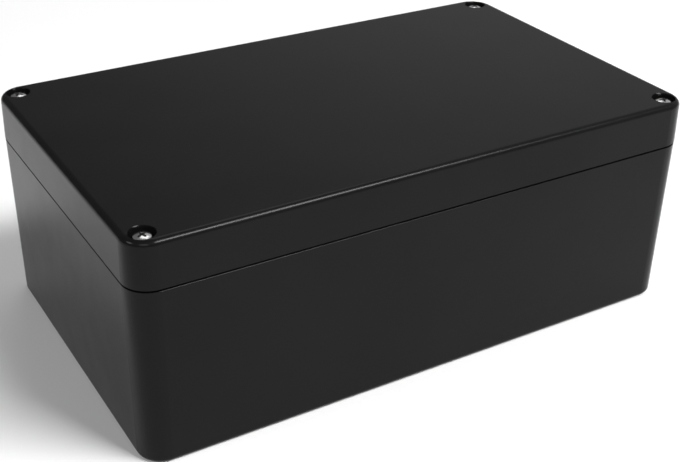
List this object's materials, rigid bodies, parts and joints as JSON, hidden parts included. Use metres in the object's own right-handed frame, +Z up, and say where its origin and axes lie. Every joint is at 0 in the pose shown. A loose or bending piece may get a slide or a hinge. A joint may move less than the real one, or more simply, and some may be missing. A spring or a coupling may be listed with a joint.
{
  "type": "plastic project box",
  "caption": "Sealed rectangular plastic enclosure with a gasketed screw-down lid, recessed corner screws, board bosses and wall-mounting holes, for housing circuit boards.",
  "frame": {"origin": "middle of the underside of the base", "axes": "+X along the case's length, +Y across its width towards the back, +Z up through the lid"},
  "size_m": [0.2, 0.12, 0.075],
  "materials": {
    "case_plastic": "satin black, finely spark-eroded",
    "gasket_rubber": "matt",
    "screw_steel": "bright plated",
    "insert_brass": "turned"
  },
  "bodies": {
    "case": {"base": "case_plastic", "insert_front_left": "insert_brass", "insert_front_right": "insert_brass", "insert_back_left": "insert_brass", "insert_back_right": "insert_brass"},
    "cover": {"lid": "case_plastic", "gasket": "gasket_rubber"},
    "screw_front_left": {"lid_screw_front_left": "screw_steel"},
    "screw_front_right": {"lid_screw_front_right": "screw_steel"},
    "screw_back_left": {"lid_screw_back_left": "screw_steel"},
    "screw_back_right": {"lid_screw_back_right": "screw_steel"}
  },
  "joints": [
    {"name": "lid_lift", "type": "slide", "parent": "case", "child": "cover", "axis": [0, 0, 1], "range_m": [0, 0.08]},
    {"name": "undo_front_left", "type": "slide", "parent": "cover", "child": "screw_front_left", "axis": [0, 0, 1], "range_m": [0, 0.009]},
    {"name": "undo_front_right", "type": "slide", "parent": "cover", "child": "screw_front_right", "axis": [0, 0, 1], "range_m": [0, 0.009]},
    {"name": "undo_back_left", "type": "slide", "parent": "cover", "child": "screw_back_left", "axis": [0, 0, 1], "range_m": [0, 0.009]},
    {"name": "undo_back_right", "type": "slide", "parent": "cover", "child": "screw_back_right", "axis": [0, 0, 1], "range_m": [0, 0.009]}
  ]
}
